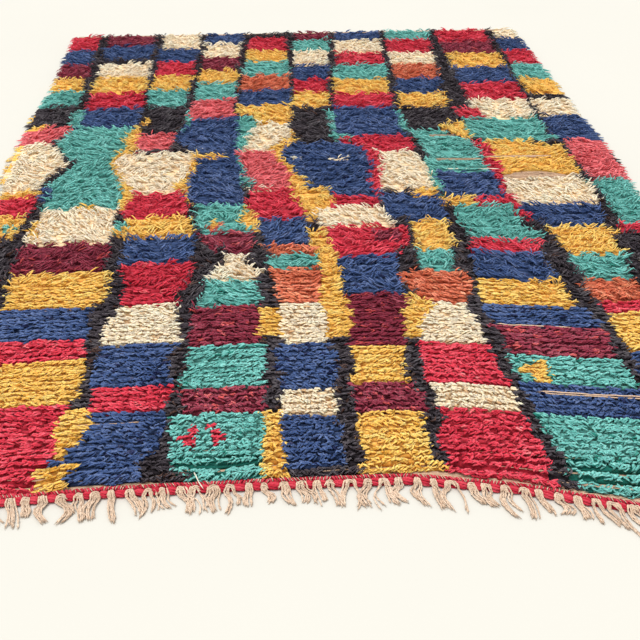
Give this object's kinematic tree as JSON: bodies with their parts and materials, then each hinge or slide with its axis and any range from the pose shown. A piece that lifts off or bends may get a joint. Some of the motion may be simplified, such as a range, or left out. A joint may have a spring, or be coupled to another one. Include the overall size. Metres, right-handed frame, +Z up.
{
  "type": "azilal rug",
  "caption": "Hand knotted wool shag rug with stacked colour blocks between dark wavering lines, a red twined border and a warp fringe at one end, laid flat.",
  "frame": {"origin": "middle of the whole rug's box, on the floor that it lies on", "axes": "+Z up, +Y along the rug's length from the fringed end to the far end, +X to the right as seen from the fringed end"},
  "size_m": [1.5, 2.4, 0.0274],
  "materials": {
    "web_wool": "undyed wool in plain weave, the ground that the knots are tied on",
    "twined_yarn": "thick plied red wool, twined over the warp",
    "warp_fringe": "undyed plied warp yarn, knotted in bunches",
    "pile_red": "soft loosely spun red wool",
    "pile_maroon": "soft loosely spun maroon wool",
    "pile_blue": "soft loosely spun indigo wool",
    "pile_teal": "soft loosely spun green blue wool",
    "pile_yellow": "soft loosely spun golden wool",
    "pile_cream": "soft loosely spun undyed wool",
    "pile_black": "soft loosely spun dark wool",
    "pile_coral": "soft loosely spun orange red wool"
  },
  "bodies": {
    "root": {"rug_field": "web_wool", "twined_border_near": "twined_yarn", "fringe_near": "warp_fringe"}
  },
  "joints": []
}
